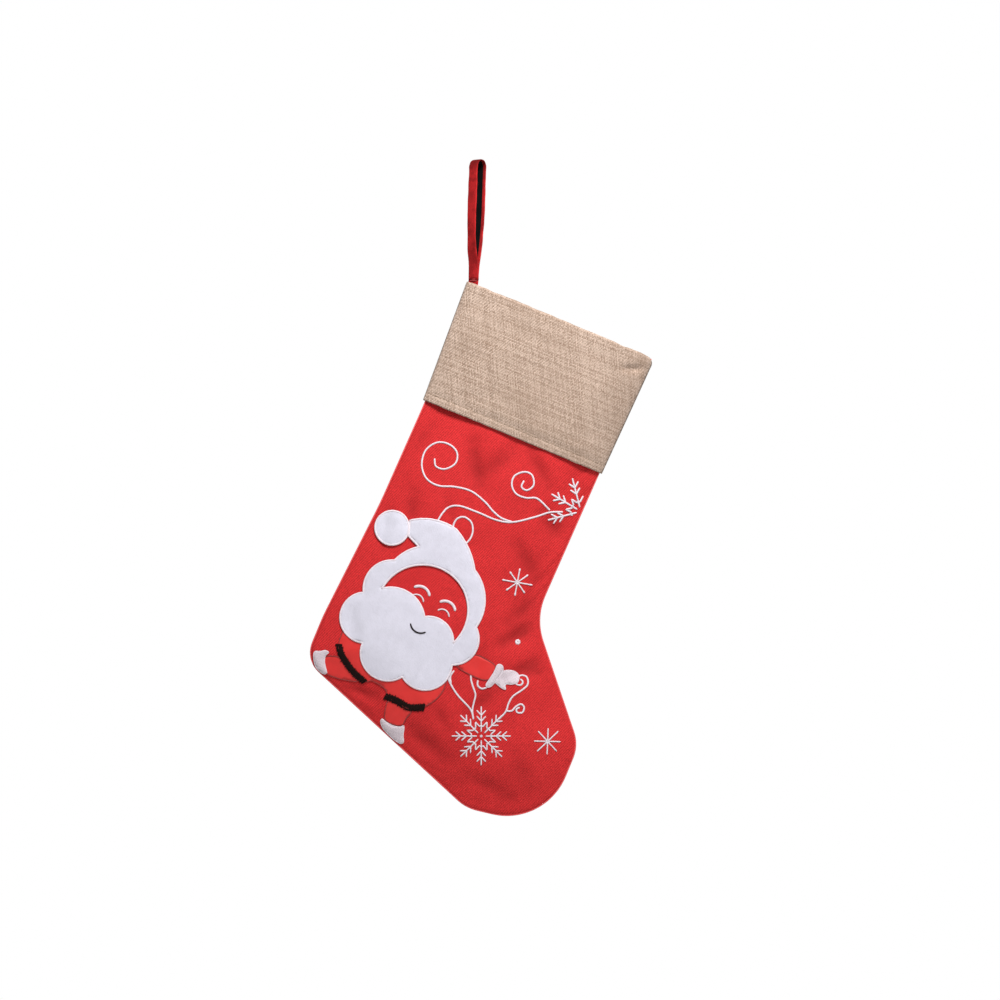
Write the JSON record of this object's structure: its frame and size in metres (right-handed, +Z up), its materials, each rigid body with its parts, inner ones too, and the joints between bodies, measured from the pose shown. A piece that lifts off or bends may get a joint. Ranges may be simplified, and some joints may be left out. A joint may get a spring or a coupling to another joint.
{
  "type": "christmas stocking",
  "caption": "Hanging Christmas stocking: lined red body, turned-down beige cuff, sewn hanging loop, felt and thread decoration on the front.",
  "frame": {"origin": "inside top of the hanging loop's eye, where a hook carries it", "axes": "+Z up as it hangs, front faces -Y, toe towards +X"},
  "size_m": [0.3257, 0.0304, 0.6224],
  "materials": {
    "red_twill": "woven twill, matt",
    "red_satin": "smooth satin, slight sheen",
    "white_lining": "thin plain weave, matt",
    "burlap": "coarse open plain weave with slubs",
    "beige_thread": "sewing thread",
    "white_felt": "pressed felt",
    "white_thread": "embroidery thread, satin stitch",
    "black_thread": "embroidery thread",
    "black_tape": "woven tape",
    "red_thread": "sewing thread"
  },
  "bodies": {
    "loop": {"loop_strip": "red_twill", "loop_backing": "black_tape"},
    "loop_bend": {"loop_tack": "red_thread"},
    "stocking": {"band_left": "black_thread", "band_right": "black_thread", "boot_left": "white_thread", "boot_right": "white_thread", "brow_left": "white_thread", "brow_right": "white_thread", "coat": "red_satin", "cuff_back": "burlap", "cuff_front": "burlap", "cuff_hem_stitch_back": "beige_thread", "cuff_hem_stitch_front": "beige_thread", "curl_on_hat": "white_thread", "eyelid_left": "white_thread", "eyelid_right": "white_thread", "face_border": "white_thread", "felt_border": "white_thread", "hat_and_beard": "white_felt", "leg_back": "red_twill", "leg_front": "red_twill", "lining_back": "white_lining", "lining_front": "white_lining", "loop_ends": "red_twill", "mitten": "white_thread", "pompom": "white_felt", "pompom_border": "white_thread", "scroll_curl": "white_thread", "scroll_left": "white_thread", "scroll_middle": "white_thread", "scroll_right": "white_thread", "sleeve": "red_satin", "smile": "black_thread", "snowflake_edge": "white_thread", "snowflake_foot": "white_thread", "star_lower": "white_thread", "star_upper": "white_thread", "stitched_dot": "white_thread", "swirl_from_hat": "white_thread", "swirl_large": "white_thread", "swirl_small": "white_thread", "trouser_left": "red_satin", "trouser_right": "red_satin"}
  },
  "joints": [
    {"name": "sideways_swing", "type": "hinge", "parent": "loop", "child": "loop_bend", "pos_m": [-0.00425, 0, -0.1125], "axis": [0, 1, 0], "range_deg": [-30, 30]},
    {"name": "forward_swing", "type": "hinge", "parent": "loop_bend", "child": "stocking", "pos_m": [-0.00425, 0, -0.1125], "axis": [1, 0, 0], "range_deg": [-45, 20]}
  ]
}
